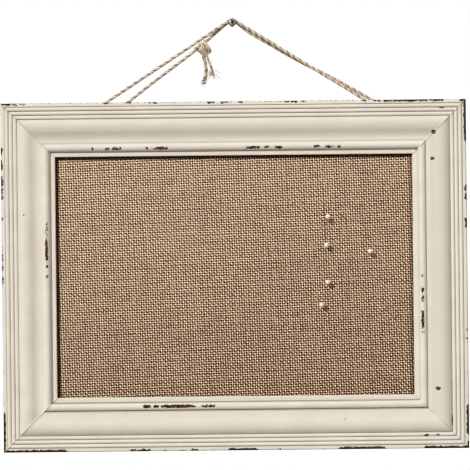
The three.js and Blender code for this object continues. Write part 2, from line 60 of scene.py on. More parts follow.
# Moulding section, from the outer edge in, as heights above the frame's back
ARRIS_RADIUS = 1.6 * MM
BAND_WIDTH = 4 * MM
BAND_HEIGHT = 18.8 * MM
BAND_EASE = 0.6 * MM
GROOVE_HEIGHT = 18 * MM
REED_COUNT = 3
REED_PITCH = 4.1 * MM
REED_RISE = 1.9 * MM
CREST_HEIGHT = 23.5 * MM
DOME_RADIUS = 8.5 * MM
DOME_SWEEP = 65
SHOULDER_RADIUS = 13 * MM
SHOULDER_SWEEP = 30
COVE_RADIUS = 16 * MM
TROUGH_FLAT = 2.2 * MM
BEAD_RADIUS = 3.9 * MM
BEAD_SINK = 0.6 * MM
QUIRK_ANGLE = 5
QUIRK_DEPTH = 0.2 * MM
LIP_WIDTH = 5 * MM
LIP_THICKNESS = 4.5 * MM
LIP_EDGE_RADIUS = 0.8 * MM
RABBET_WIDTH = 6 * MM
MITRE_GAP = 0.02 * MM
OPEN_MITRE_GAP = 0.07 * MM  # the joint at the bottom left, whose paint has cracked
RAIL_STEPS = 300
FRONT_HEIGHT = 17 * MM  # the moulding's front lies above it
GROOVE_DARKENING_WIDTH = 0.55 * MM
SLOT_OVERRUN = 0.7 * MM  # of a wedge's slot, at the frame's back

# Panel
BURLAP_HEM = 22 * MM
BURLAP_DEPTH = 6.9 * MM  # front to hem
PANEL_PLAY = 0.4 * MM
CLOTH_HEIGHT = 12.65 * MM  # the ground behind the yarns, above the frame's back
CLOTH_PLAY = 0.3 * MM
CLOTH_DEPTH = BURLAP_DEPTH - 0.8 * MM
YARN_HEIGHT = 13.24 * MM  # the middle of the weave, above the frame's back
YARN_INSET = 1.2 * MM
WARP_REACH = 86  # yarns on either side of the middle
WEFT_REACH = 62
HALF_PITCHES = 190  # each way along a yarn, more than enough
THREAD_PITCH = 2.37 * MM
THREAD_HALF_WIDTH = 0.66 * MM
THREAD_HALF_HEIGHT = 0.42 * MM
WEAVE_SWING = 0.36 * MM  # how far a thread rises and dips at a crossing
WEAVE_TURN = math.radians(2)

# Twine
TWINE_LAY = 7.5 * MM
PLY_COUNT = 3
PLY_RADIUS = 0.82 * MM
PLY_OFFSET = 0.72 * MM
PLY_SIDES = 7
ROUTE_STEP = 0.7 * MM
BEHIND_RAIL = -4.05 * MM  # the twine's middle behind the top rail
HAIR_RADIUS = 0.07 * MM
HAIR_ROOT = 1.15 * MM  # from the twine's middle
LOOP_HAIRS = 620
KNOT_HAIRS = 45  # on each tail and knot strand
WISP_RADIUS = 0.17 * MM
WISPS = 40  # at each frayed end

# Map pins and screw
PIN_HEAD_RADIUS = 2.5 * MM
SCREW_SLANT = math.radians(10)
SCREW_SHANK_RADIUS = 1.75 * MM
SCREW_SHOWN = 9.4 * MM
SCREW_BURIED = 26 * MM
SCREW_POINT = 5 * MM
SCREW_HEAD_RADIUS = 4 * MM
SCREW_HEAD_HEIGHT = 3 * MM
SCREW_HEAD_RIM = 1.1 * MM
SCREW_HEAD_EASE = 0.15 * MM
SCREW_SIDES = 40
SCREW_THREAD_TURNS = 8
SCREW_THREAD_STEPS = 28
SCREW_THREAD_WIDTH = 0.84 * MM
SCREW_THREAD_START = 4 * MM  # from the screw's point
SCREW_THREAD_PITCH = 1.6 * MM
SCREW_THREAD_DEPTH = 0.45 * MM
RECESS_SPAN = 5.8 * MM
RECESS_WIDTH = 1.5 * MM
RECESS_DEPTH = 1.8 * MM
RECESS_TURN = 0.35
BRAD_CRATER_RADIUS = 1.7 * MM

# Camera, stage and light
CAMERA_LENS = 123.9
CAMERA_PLACE = (0.6 * MM, -1622 * MM, -210.2 * MM)
CAMERA_ROLL = math.radians(0.6)  # the photo is a little out of level
FLOOR_DROP = 750 * MM  # below the frame
ROOM_LIGHT = 0.03
PIXEL_FILTER = 1.2

# Chipped paint: start and end, in millimetres along each rail from its middle, and strength
EDGE_CHIPS = {
    "top": [
        (-231, -214, 0.9), (-211, -206, 0.5), (-129, -123, 0.8), (-106, -100, 0.85), (-83, -75, 0.6),
        (-26, -18, 0.8), (-12, -3, 0.8), (5, 10, 0.8), (51, 64, 0.9), (67, 73, 0.7), (128, 132, 0.7),
        (139, 146, 0.7), (149, 157, 0.85), (158, 192, 1.25), (194, 198, 1.0), (199, 208, 1.05),
        (224, 230, 1.1),
    ],
    "bottom": [
        (-229, -168, 1.4), (-105, -85, 0.9), (-73, -70, 0.8), (-55, -52, 0.7), (-45, -38, 0.95),
        (-26, -23, 0.7), (-7, 20, 1.4), (41, 44, 0.7), (102, 147, 1.4), (186, 230, 1.4),
    ],
    "right": [
        (131, 172, 1.5), (82, 87, 1.2), (73, 79, 1.3), (46, 54, 1.3), (-56, -54, 0.8), (-65, -63, 0.8),
        (-158, -130, 1.6), (-172, -165, 1.0),
    ],
    "left": [
        (122, 129, 0.95), (107, 116, 0.9), (91, 100, 1.0), (82, 89, 0.9), (77, 80, 0.9), (57, 60, 0.7),
        (27, 31, 0.7), (-8, 24, 0.6), (-172, -133, 1.4),
    ],
}
BEAD_CHIPS = {
    "top": [
        (-140, -138, 0.7), (-126, -123, 0.7), (-120, -111, 0.7), (-86, -84, 0.7), (-78, -65, 0.8),
        (12, 26, 0.8), (30, 35, 0.7), (41, 48, 0.8), (79, 84, 0.7), (90, 98, 0.7), (103, 106, 0.6),
    ],
    "right": [(-2, 0, 0.6), (-18, -13, 0.8), (-27, -21, 0.8), (-54, -36, 0.9), (-58, -56, 0.7)],
    "left": [(41, 55, 0.5), (15, 39, 1.0), (10, 12, 0.6), (0, 2, 0.6)],
    "bottom": [(-91, -85, 1.3), (-82, -76, 0.9), (-74, -40, 1.3), (-36, -20, 0.7)],
}
EDGE_REACH = {"top": 2.4, "bottom": 2.5, "left": 2.3, "right": 2.5}  # millimetres in from the outer edge
EDGE_FLECKS = {"top": 0.3, "bottom": 0.2, "left": 0.2, "right": 0.2}
LUMPS = {"top": 0.4, "bottom": 0.4, "left": 0, "right": 0.55}  # paint built up at the right corners
# Darkening in the grooves, trough and quirk: part dirt, part painted shade, set rail by rail for how the
# light falls.
GROOVE_DIRT_AND_SHADE = {"top": 0.8, "bottom": 0.6, "left": 0.1, "right": 0.3}
BEAD_DIRT_AND_SHADE = {"top": 0.7, "bottom": 1.6, "left": 0, "right": 0.3}
# Painted shade over the field's hollow, set rail by rail for how the light falls.
HOLLOW_SHADE = {"top": 0.33, "bottom": 0.22, "left": 0.05, "right": 0.42}
BEAD_CHIP_SHIFT = {"top": 1.4, "bottom": 0.2, "left": 0.4, "right": 0.6}  # inwards of the bead's crown
# Rail, place along it, distance in from the outer edge, half length and half width, all in millimetres
FACE_CHIPS = [
    ("bottom", 187.5, 13.4, 1.9, 1.1),
    ("bottom", 199.3, 13.9, 1.3, 0.8),
    ("bottom", 107, 30, 0.7, 0.45),
    ("top", 205.6, 8.6, 2.6, 0.5),
    ("right", -144, 17, 5.5, 0.5),
    ("left", -135, 33, 0.35, 1.1),
    ("left", 62.2, 23, 0.8, 0.7),
    ("right", 140.1, 32.4, 1.9, 1.9),
    ("right", 113.8, 33.9, 1.5, 1.5),
    ("right", -113, 30.5, 1.8, 1.8),
    ("top", 197.6, 32.4, 1.9, 1.9),
]


def tint(code):
    """A colour as the shader wants it, from a six-digit code."""
    parts = [int(code[i : i + 2], 16) / 255 for i in (0, 2, 4)]
    return [c / 12.92 if c <= 0.04045 else ((c + 0.055) / 1.055) ** 2.4 for c in parts] + [1]


class Value:
    """A shader socket that takes part in sums, so that a pattern is written as a formula."""

    def __init__(self, finish, socket):
        self.finish = finish
        self.socket = socket

    def math(self, operation, *others):
        values = dict(enumerate((self, *others)))
        return self.finish.node("Math", {"operation": operation}, values)

    def __add__(self, other):
        return self.math("ADD", other)

    def __mul__(self, other):
        return self.math("MULTIPLY", other)

    def __sub__(self, other):
        return self.math("SUBTRACT", other)

    def __rsub__(self, other):
        return self.finish.node("Math", {"operation": "SUBTRACT"}, {0: other, 1: self})

    __radd__ = __add__
    __rmul__ = __mul__

    def between(self, low, high):
        """0 below low, 1 above high and smooth between them."""
        return self.finish.node(
            "MapRange",
            {"interpolation_type": "SMOOTHSTEP"},
            {"Value": self, "From Min": low, "From Max": high},
        )


class Finish:
    """One procedural material."""

    def __init__(self, name, **constants):
        self.material = bpy.data.materials.new(name)
        self.material.use_nodes = True
        self.tree = self.material.node_tree
        self.surface = self.tree.nodes["Principled BSDF"]
        for socket, value in constants.items():
            self.surface.inputs[socket.replace("_", " ")].default_value = value

    def node(self, kind, settings, inputs, output=0):
        made = self.tree.nodes.new("ShaderNode" + kind)
        for name, value in settings.items():
            setattr(made, name, value)
        for name, value in inputs.items():
            self.feed(made.inputs[name], value)
        return Value(self, made.outputs[output])

    def feed(self, socket, value):
        if isinstance(value, Value):
            self.tree.links.new(value.socket, socket)
        else:
            socket.default_value = value

    def place(self, scale=(1, 1, 1)):
        spot = self.node("TexCoord", {}, {}, "Object")
        return self.node("Mapping", {}, {"Vector": spot, "Scale": scale})

    def attribute(self, name):
        return self.node("Attribute", {"attribute_name": name}, {}, "Fac")

    def vector(self, x, y, z):
        return self.node("CombineXYZ", {}, {0: x, 1: y, 2: z})

    def noise(self, spot, scale, detail, roughness=0.55):
        return self.node(
            "TexNoise", {}, {"Vector": spot, "Scale": scale, "Detail": detail, "Roughness": roughness}
        )

    def mix(self, share, first, second):
        return self.node("Mix", {"data_type": "RGBA"}, {0: share, 6: first, 7: second}, 2)

    def bump(self, height, distance, strength=1.0):
        return self.node("Bump", {}, {"Height": height, "Distance": distance, "Strength": strength})

    def wears(self, colour=None, roughness=None, normal=None, metallic=None):
        """Links what changes over the surface, and gives the material."""
        for name, value in (
            ("Base Color", colour),
            ("Roughness", roughness),
            ("Normal", normal),
            ("Metallic", metallic),
        ):
            if value is not None:
                self.feed(self.surface.inputs[name], value)
        return self.material

    def whitens(self, share, surface):
        """Mixes in white for the camera, reflections and clear pieces alone, so that it lights nothing."""
        seen = self.node("LightPath", {}, {}, "Is Camera Ray")
        for ray in ("Is Glossy Ray", "Is Transmission Ray"):
            seen = seen.math("MAXIMUM", self.node("LightPath", {}, {}, ray))
        white = self.node("Emission", {}, {"Color": (1, 1, 1, 1), "Strength": 1.0})
        mixed = self.node("MixShader", {}, {0: seen * share, 1: surface, 2: white})
        self.feed(self.tree.nodes["Material Output"].inputs["Surface"], mixed)


# Finishes
def cream_paint_finish():
    """Brushed cream paint over brown wood, chipped where the wear attribute is high."""
    paint = Finish("cream_paint", Specular_IOR_Level=0.3)
    along, across = paint.attribute("along"), paint.attribute("across")
    wear, grime_and_shade, bare = (paint.attribute(name) for name in ("wear", "grime_and_shade", "bare"))
    seam = (1 - paint.attribute("mitre").between(0, 2 * MM)) * (1 - bare)
    rough = seam + paint.attribute("lumps")
    spot = paint.place()
    strokes = paint.noise(paint.vector(along * 55, across * 1500, bare), 1, 4)
    blotches = paint.noise(spot, 38, 4)
    fine = paint.noise(spot, 1250, 4, 0.65)
    coarse = paint.noise(spot, 190, 4, 0.6)
    flaked = paint.noise(spot, 420, 3, 0.6)
    bitten = wear + (fine - 0.5) * 1.8 + (flaked - 0.5) * 2.4
    chip = bitten.between(0.5, 0.55) * wear.between(0.1, 0.2)
    rim = bitten.between(0.38, 0.5) * wear.between(0.1, 0.2)
    wood = paint.mix(coarse.between(0.45, 0.66), tint("22150f"), tint("523226"))
    grain = paint.noise(paint.vector(along * 12, across * 420, grime_and_shade), 1, 5, 0.6)
    raw = paint.mix(grain.between(0.3, 0.7), tint("9a7852"), tint("c3a277"))
    cream = paint.mix(blotches.between(0.3, 0.7), tint("d8d0c2"), tint("e0d8ca"))
    cream = paint.mix(strokes.between(0.35, 0.75) * 0.16, cream, tint("cfc6b2"))
    # Darker where the grime attribute is high: dirt and painted shade in the grooves, painted shade in the
    # hollow.
    cream = paint.mix(grime_and_shade * (0.35 + blotches * 0.6), cream, tint("9c907c"))
    cream = paint.mix(rim * 0.35, cream, tint("b8a68d"))
    crack = seam.between(0.6, 1) * coarse.between(0.42, 0.6)
    cream = paint.mix(crack * 0.25, cream, tint("8d806c"))
    coat = paint.mix(chip, cream, wood)
    colour = paint.mix(bare, coat, raw)
    roughness = 0.5 + chip * 0.3 + bare * 0.25 + strokes * 0.1
    height = (1 - chip) * 0.8 + strokes * 0.14 + coarse * 0.3 + rough * (fine + flaked) * 2 - crack * 0.3
    return paint.wears(colour, roughness, paint.bump(height, 0.35 * MM, 0.8))


def burlap_finish():
    """Loosely spun jute: tone by yarn, painted highlight atop crossings, painted shade in dips, along the
    twist and under the frame's lip.
    """
    burlap = Finish("burlap", Specular_IOR_Level=0.05)
    along, across, tone, rise = (burlap.attribute(name) for name in ("along", "across", "tone", "rise"))
    fibres = burlap.noise(burlap.vector(along * 700, across * 2600, tone * 9), 1, 3)
    twist = burlap.attribute("twist")
    # Painted highlight atop each crossing, painted shade in the dips, at the yarn's sides and along the
    # twist.
    shade = tone * 0.45 + (fibres - 0.5) * 0.7 + rise + twist * 0.42 - 0.16
    colour = burlap.mix(shade.between(0.0, 1.1), tint("55290f"), tint("ffe0bd"))
    # A near-black painted shadow along the frame's lip.
    colour = burlap.mix(burlap.attribute("lip_shadow"), colour, tint("341407"))
    return burlap.wears(colour, 0.92, burlap.bump(fibres, 0.25 * MM))


def burlap_ground_finish():
    """The fuzz and shade behind the open weave."""
    ground = Finish("burlap_ground", Roughness=1.0, Specular_IOR_Level=0.05)
    fibres = ground.noise(ground.place(), 900, 3)
    colour = ground.mix(fibres, tint("2a1204"), tint("42200c"))
    return ground.wears(colour, None, ground.bump(fibres, 0.3 * MM))


def jute_finish():
    """Tan twine with brown flecks that follow the twist."""
    jute = Finish("jute", Specular_IOR_Level=0.25)
    along, tone = jute.attribute("along"), jute.attribute("tone")
    spot = jute.place()
    flecks = jute.noise(jute.vector(along * 260, tone * 30, tone), 1, 4, 0.6)
    lint = jute.noise(spot, 2400, 2)
    shade = flecks * 0.8 + lint * 0.35 + tone * 0.25
    colour = jute.mix(shade.between(0.4, 0.9), tint("664a34"), tint("e9d8bf"))
    return jute.wears(colour, 0.88, jute.bump(lint, 0.2 * MM))


def cork_finish():
    """Pressed cork granules with dark bark between them."""
    cork = Finish("cork", Specular_IOR_Level=0.2)
    spot = cork.place()
    grains = cork.node("TexVoronoi", {}, {"Vector": spot, "Scale": 420.0}, "Distance")
    bark = cork.noise(spot, 160, 5)
    colour = cork.mix(bark.between(0.35, 0.7), tint("c69b66"), tint("8a5d35"))
    colour = cork.mix(grains.between(0.4, 0.8) * 0.6, colour, tint("5c3b22"))
    return cork.wears(colour, 0.9, cork.bump(1 - grains, 0.4 * MM))


def hardboard_finish():
    """Brown pressed fibre with the small screen pattern of its rough face."""
    board = Finish("hardboard", Specular_IOR_Level=0.3)
    spot = board.place()
    fibres = board.noise(board.place((240, 240, 900)), 1, 4, 0.6)
    stains = board.noise(spot, 9, 4)
    screen = board.node("TexVoronoi", {}, {"Vector": spot, "Scale": 620.0}, "Distance")
    colour = board.mix(fibres.between(0.3, 0.7), tint("6a4a30"), tint("8d6845"))
    colour = board.mix(stains.between(0.5, 0.75) * 0.35, colour, tint("4d3422"))
    return board.wears(colour, 0.78 + fibres * 0.1, board.bump(screen, 0.25 * MM))


def steel_finish(name, dark, light, roughness, rust_and_shade=None, rust_and_shade_colour=None):
    """Drawn wire or sheet with dull patches, with rust where asked and near-black painted shade in the
    screw's recess.
    """
    steel = Finish(name, Metallic=1.0)
    patches = steel.noise(steel.place(), 700, 4)
    marks = steel.noise(steel.place((900, 900, 5200)), 1, 3)
    colour = steel.mix(patches.between(0.3, 0.7), tint(dark), tint(light))
    relief = steel.bump(marks, 0.06 * MM)
    if rust_and_shade is None:
        return steel.wears(colour, roughness + patches * 0.18, relief)
    rusted_and_shaded = steel.attribute(rust_and_shade) if rust_and_shade == "recess_shade" else patches.between(0.4, 0.57)
    colour = steel.mix(rusted_and_shaded, colour, tint(rust_and_shade_colour))
    return steel.wears(colour, roughness + patches * 0.18 + rusted_and_shaded * 0.3, relief, 1 - rusted_and_shaded * 0.9)


def pin_plastic_finish():
    """Glossy ivory plastic with faint clouds."""
    plastic = Finish("pin_plastic", Coat_Weight=0.4, Coat_Roughness=0.08, IOR=1.5)
    clouds = plastic.noise(plastic.place(), 320, 3)
    colour = plastic.mix(clouds, tint("e3d3bd"), tint("ecdfcb"))
    return plastic.wears(colour, 0.2 + clouds * 0.08, plastic.bump(clouds, 0.03 * MM))


CREAM_PAINT = cream_paint_finish()
BURLAP = burlap_finish()
BURLAP_GROUND = burlap_ground_finish()
JUTE = jute_finish()
CORK = cork_finish()
HARDBOARD = hardboard_finish()
BRIGHT_STEEL = steel_finish("bright_steel", "9fa3a6", "c8cbce", 0.28)
# The screw's cross recess is painted near-black as shade.
ZINC = steel_finish("zinc_screw", "434343", "858585", 0.36, "recess_shade", "0a0909")
RUSTY = steel_finish("rusty_brad", "5e5446", "8d8270", 0.55, "rust", "4a3a28")
PIN_PLASTIC = pin_plastic_finish()


# Pieces
def nothing_selected():
    bpy.ops.object.select_all(action="DESELECT")


def just(piece):
    nothing_selected()
    piece.select_set(True)
    bpy.context.view_layer.objects.active = piece


def editing(piece, pick="SELECT"):
    just(piece)
    bpy.ops.object.mode_set(mode="EDIT")
    bpy.ops.mesh.select_all(action=pick)


def done_editing():
    bpy.ops.object.mode_set(mode="OBJECT")


def close_ends():
    """Fills a piece's open ends, in edit mode, and turns its faces outwards."""
    bpy.ops.mesh.select_all(action="DESELECT")
    bpy.ops.mesh.select_non_manifold()
    bpy.ops.mesh.edge_face_add()
    bpy.ops.mesh.select_all(action="SELECT")
    bpy.ops.mesh.normals_make_consistent(inside=False)


def apply_modifier(piece, kind, **settings):
    just(piece)
    modifier = piece.modifiers.new(kind.lower(), kind)
    for name, value in settings.items():
        setattr(modifier, name, value)
    bpy.ops.object.modifier_apply(modifier=modifier.name)


def settle(piece):
    """Puts a piece's place and turn into its mesh."""
    just(piece)
    bpy.ops.object.transform_apply(location=True, rotation=True, scale=True)


def dress(piece, name, material, body, stands_for=(), smooth=None):
    """Names a finished piece, gives it its finish and hangs it on its body."""
    piece.name = name
    piece.data.name = name
    piece.data.materials.clear()
    piece.data.materials.append(material)
    if smooth is not None:
        just(piece)
        bpy.ops.object.shade_smooth_by_angle(angle=math.radians(smooth))
    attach(piece, body)
    if stands_for:
        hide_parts(*stands_for)
    return piece


def mesh_piece(name, points, faces, edges=()):
    mesh = bpy.data.meshes.new(name)
    mesh.from_pydata([tuple(p) for p in points], list(edges), [tuple(f) for f in faces])
    piece = bpy.data.objects.new(name, mesh)
    bpy.context.collection.objects.link(piece)
    return piece


def set_attribute(piece, name, values):
    layer = piece.data.attributes.new(name, "FLOAT", "POINT")
    layer.data.foreach_set("value", np.asarray(values, np.float32))


def mesh_points(piece):
    points = np.zeros(len(piece.data.vertices) * 3, np.float32)
    piece.data.vertices.foreach_get("co", points)
    return points.reshape(-1, 3).astype(float)


# Camera
def add_camera():
    camera = bpy.data.cameras.new("photo_view")
    camera.lens = CAMERA_LENS
    camera.sensor_width = 36
    camera.clip_start = 0.05
    holder = bpy.data.objects.new("photo_view", camera)
    holder.location = CAMERA_PLACE
    holder.rotation_euler = (math.radians(90), CAMERA_ROLL, 0)
    bpy.context.collection.objects.link(holder)
    bpy.context.scene.camera = holder


# Twine
def behind_rail(x, below):
    """A point of the twine behind the top rail, in millimetres, so far below the frame's top."""
    return (x, BEHIND_RAIL / MM, TOP_EDGE / MM - below)


# Points in millimetres: over the screw in front, over it next to the wall, and the whole loop from the knot
FRONT_PASS = [(-3.45, -5.45, 3.56), (0, -5.45, 4.57), (3.35, -5.45, 3.62)]
WALL_PASS = [(3.18, -1.65, 3.05), (0, -1.65, 3.9), (-3.89, -1.65, 2.58)]
TWINE_ROUTE = [
    (-36.9, -3.6, -25.2), (-75, -3.6, -53.3), behind_rail(-105.3, -1.5), behind_rail(-133.9, 20.4),
    behind_rail(-140.2, 25.2), behind_rail(-146.3, 25), behind_rail(-150.4, 20.5),
    behind_rail(-150.2, 14.5), behind_rail(-145.7, 10.4), behind_rail(-139.8, 6.6),
    behind_rail(-127.2, -1.5), (-65, -5, -36.3), (-10, -5.45, -0.63), *FRONT_PASS, (10, -5.45, -0.47),
    (40, -5.45, -19.2), (75, -5.45, -40.97), (105, -4.6, -59.61), behind_rail(132.2, -1.5),
    behind_rail(150.9, 10), behind_rail(157.3, 14.9), behind_rail(162.2, 22.4),
    behind_rail(167.1, 23.1), behind_rail(171.1, 20.1), behind_rail(171.8, 15.2),
    behind_rail(168.8, 11.2), behind_rail(160, 10.5), behind_rail(152.7, 7.1),
    behind_rail(138.9, -1.5), (95, -1.65, -51.2), (70, -1.65, -38.6), (40, -1.65, -21.3),
    (16, -1.65, -6.9), *WALL_PASS, (-12, -2.2, -3.76), (-25.7, -3.4, -16),
]
LEFT_TAIL = [(-29.2, -3.2, -30.6), (-27.2, -3, -39), (-26.7, -3, -49.2), (-29.5, -3, -57.8)]
RIGHT_TAIL = [(-26.4, -5.9, -29.75), (-23.5, -6.4, -36.6), (-21, -6.4, -44.1), (-20.2, -6.2, -50.6)]
KNOT_CENTRE = np.array((-28.9, -4.6, -24.1)) * MM
KNOT_SLOPE = math.radians(37.4)


def run_along(line):
    """The distance along a line at each of its points."""
    return np.concatenate([[0], np.cumsum(np.linalg.norm(np.diff(line, axis=0), axis=1))])


def smooth_route(points):
    """An even line through the points, by a centripetal curve."""
    p = np.array(points, float) * MM
    p = np.vstack([2 * p[0] - p[1], p, 2 * p[-1] - p[-2]])
    line = []
    for a, b, c, d in zip(p, p[1:], p[2:], p[3:]):
        knots = np.cumsum([0, *(np.sqrt(np.linalg.norm(n - m)) for m, n in ((a, b), (b, c), (c, d)))])
        for t in np.linspace(knots[1], knots[2], 24, endpoint=False):
            ab = a + (b - a) * (t - knots[0]) / (knots[1] - knots[0])
            bc = b + (c - b) * (t - knots[1]) / (knots[2] - knots[1])
            cd = c + (d - c) * (t - knots[2]) / (knots[3] - knots[2])
            abc = ab + (bc - ab) * (t - knots[0]) / (knots[2] - knots[0])
            bcd = bc + (cd - bc) * (t - knots[1]) / (knots[3] - knots[1])
            line.append(abc + (bcd - abc) * (t - knots[1]) / (knots[2] - knots[1]))
    line.append(p[-2])
    return evenly(np.array(line))


def evenly(line):
    run = run_along(line)
    count = max(2, round(run[-1] / ROUTE_STEP))
    at = np.linspace(0, run[-1], count + 1)
    return np.stack([np.interp(at, run, line[:, i]) for i in range(3)], axis=1)


def side_vectors(line):
    """Two directions across the line at each point, carried along it without twist."""
    along = np.gradient(line, axis=0)
    along /= np.linalg.norm(along, axis=1)[:, None]
    first = np.cross(along[0], (0.0, 1.0, 0.0))
    sides = [first / np.linalg.norm(first)]
    for direction in along[1:]:
        side = sides[-1] - direction * np.dot(sides[-1], direction)
        sides.append(side / np.linalg.norm(side))
    sides = np.array(sides)
    return sides, np.cross(along, sides)


class Skein:
    """Tubes gathered into one mesh, with their run and tone at each point."""

    def __init__(self):
        self.points, self.faces, self.along, self.tone = [], [], [], []
        self.count = 0

    def tube(self, line, radius, sides, tone):
        line = np.asarray(line, float)
        radius = np.broadcast_to(radius, len(line))
        across, up = side_vectors(line)
        angles = np.arange(sides) * 2 * np.pi / sides
        sideways, upwards = np.cos(angles)[None, :, None], np.sin(angles)[None, :, None]
        ring = sideways * across[:, None] + upwards * up[:, None]
        self.points.append((line[:, None] + ring * radius[:, None, None]).reshape(-1, 3))
        start, rings = self.count, len(line)
        for i in range(rings - 1):
            for j in range(sides):
                k = (j + 1) % sides
                low, high = start + i * sides, start + (i + 1) * sides
                self.faces.append((low + j, low + k, high + k, high + j))
        self.faces.append(tuple(range(start + sides - 1, start - 1, -1)))
        last = start + (rings - 1) * sides
        self.faces.append(tuple(range(last, last + sides)))
        self.along.append(np.repeat(run_along(line), sides))
        self.tone.append(np.full(rings * sides, tone))
        self.count += rings * sides

    def piece(self, name):
        made = mesh_piece(name, np.concatenate(self.points), self.faces)
        set_attribute(made, "along", np.concatenate(self.along))
        set_attribute(made, "tone", np.concatenate(self.tone))
        made.data.polygons.foreach_set("use_smooth", [True] * len(made.data.polygons))
        return made


def laid_plies(skein, line, radius=PLY_RADIUS, offset=PLY_OFFSET):
    """Plies twisted round a line. Radius and offset may change along it."""
    across, up = side_vectors(line)
    run = run_along(line)
    offset = np.broadcast_to(offset, len(line))[:, None]
    for ply in range(PLY_COUNT):
        turn = (ply / PLY_COUNT + run / TWINE_LAY) * 2 * np.pi
        centre = line + offset * (np.cos(turn)[:, None] * across + np.sin(turn)[:, None] * up)
        uneven = np.interp(run, np.linspace(0, run[-1] + 1e-9, 40), chance.normal(1, 0.07, 40))
        skein.tube(centre, radius * uneven, PLY_SIDES, chance.random())


def loose_fibres(skein, line, count, reach):
    """Short hairs that stand off the twine."""
    across, up = side_vectors(line)
    along = np.gradient(line, axis=0)
    along /= np.linalg.norm(along, axis=1)[:, None]
    for _ in range(count):
        i = chance.integers(0, len(line))
        angle = chance.random() * 2 * np.pi
        out = np.cos(angle) * across[i] + np.sin(angle) * up[i]
        lean = along[i] * chance.choice([-1, 1]) * chance.uniform(0.6, 1.8)
        length = reach * chance.uniform(0.4, 1)
        root = line[i] + out * HAIR_ROOT
        bend = np.cross(out, along[i]) * chance.normal(0, 0.5)
        steps = np.linspace(0, 1, 4)[:, None]
        hair = root + (out + lean) * length * steps + bend * length * steps**2
        skein.tube(hair, HAIR_RADIUS * np.array([1, 0.9, 0.7, 0.3]), 3, chance.random())


def wrapped_strand(start, end, turns, first_angle, along_from, along_to, reach):
    """A strand that comes in, winds round the knot's middle and leaves."""
    axis = np.array((-math.cos(KNOT_SLOPE), 0, -math.sin(KNOT_SLOPE)))
    front = np.array((0, -1.0, 0))
    below = np.array((math.sin(KNOT_SLOPE), 0, -math.cos(KNOT_SLOPE)))
    coils = []
    for share in np.linspace(0, 1, 25):
        angle = first_angle + turns * 2 * np.pi * share
        place = along_from + (along_to - along_from) * share
        spot = KNOT_CENTRE + axis * place * MM
        spot = spot + front * math.cos(angle) * reach[0] * MM + below * math.sin(angle) * reach[1] * MM
        coils.append(tuple(spot / MM))
    return [start, *coils, end]


def add_twine():
    line = smooth_route(TWINE_ROUTE)
    twine = Skein()
    laid_plies(twine, line)
    twine = dress(twine.piece("twine_loop"), "twine_loop", JUTE, "board", ["hanging_twine"])

    knot = Skein()
    wraps = [
        wrapped_strand(TWINE_ROUTE[-1], LEFT_TAIL[0], 2.5, -np.pi / 2, -5.8, 3.8, (2.8, 5.5)),
        wrapped_strand(TWINE_ROUTE[0], RIGHT_TAIL[0], -1.5, -np.pi / 2, 5.6, -3.6, (3.1, 5.9)),
    ]
    for strand in wraps:
        laid_plies(knot, smooth_route(strand))
    knot = dress(knot.piece("twine_bend_knot"), "twine_bend_knot", JUTE, "board", ["twine_knot"])

    for name, route, girth, flare, node in (
        ("twine_end_left", LEFT_TAIL, 1.15, 1.5, "twine_tail_left"),
        ("twine_end_right", RIGHT_TAIL, 0.8, 3.6, "twine_tail_right"),
    ):
        tail_line = smooth_route(route)
        share = np.linspace(0, 1, len(tail_line))
        tail = Skein()
        spread = PLY_OFFSET * girth * (1 + flare * np.clip((share - 0.66) / 0.34, 0, 1) ** 1.6)
        thin = PLY_RADIUS * girth * (1 - 0.35 * np.clip((share - 0.75) / 0.25, 0, 1))
        laid_plies(tail, tail_line, thin, spread)
        end, heading = tail_line[-1], tail_line[-1] - tail_line[-8]
        heading /= np.linalg.norm(heading)
        for _ in range(WISPS):
            aside = chance.normal(0, 1, 3) * np.array((1, 0.35, 0.4))
            steps = np.linspace(0, 1, 5)[:, None]
            root = end - heading * chance.uniform(1, 6) * MM + aside * 0.4 * flare * MM
            reach = chance.uniform(3, 7) * MM
            wisp = root + heading * reach * steps + aside * 0.7 * flare * MM * steps**1.7
            tail.tube(wisp, WISP_RADIUS * np.array([1, 1, 0.8, 0.6, 0.25]), 3, chance.random())
        dress(tail.piece(name), name, JUTE, "board", [node])

    fibres = Skein()
    loose_fibres(fibres, line, LOOP_HAIRS, 2.4 * MM)
    for route in (LEFT_TAIL, RIGHT_TAIL, *wraps):
        loose_fibres(fibres, smooth_route(route), KNOT_HAIRS, 2.2 * MM)
    fibres = dress(fibres.piece("twine_fibres"), "twine_fibres", JUTE, "board")


# Moulding
def arc(centre, height, radius, start, end, steps):
    angles = np.radians(np.linspace(start, end, steps + 1))
    return [(centre + radius * math.cos(a), height + radius * math.sin(a)) for a in angles]


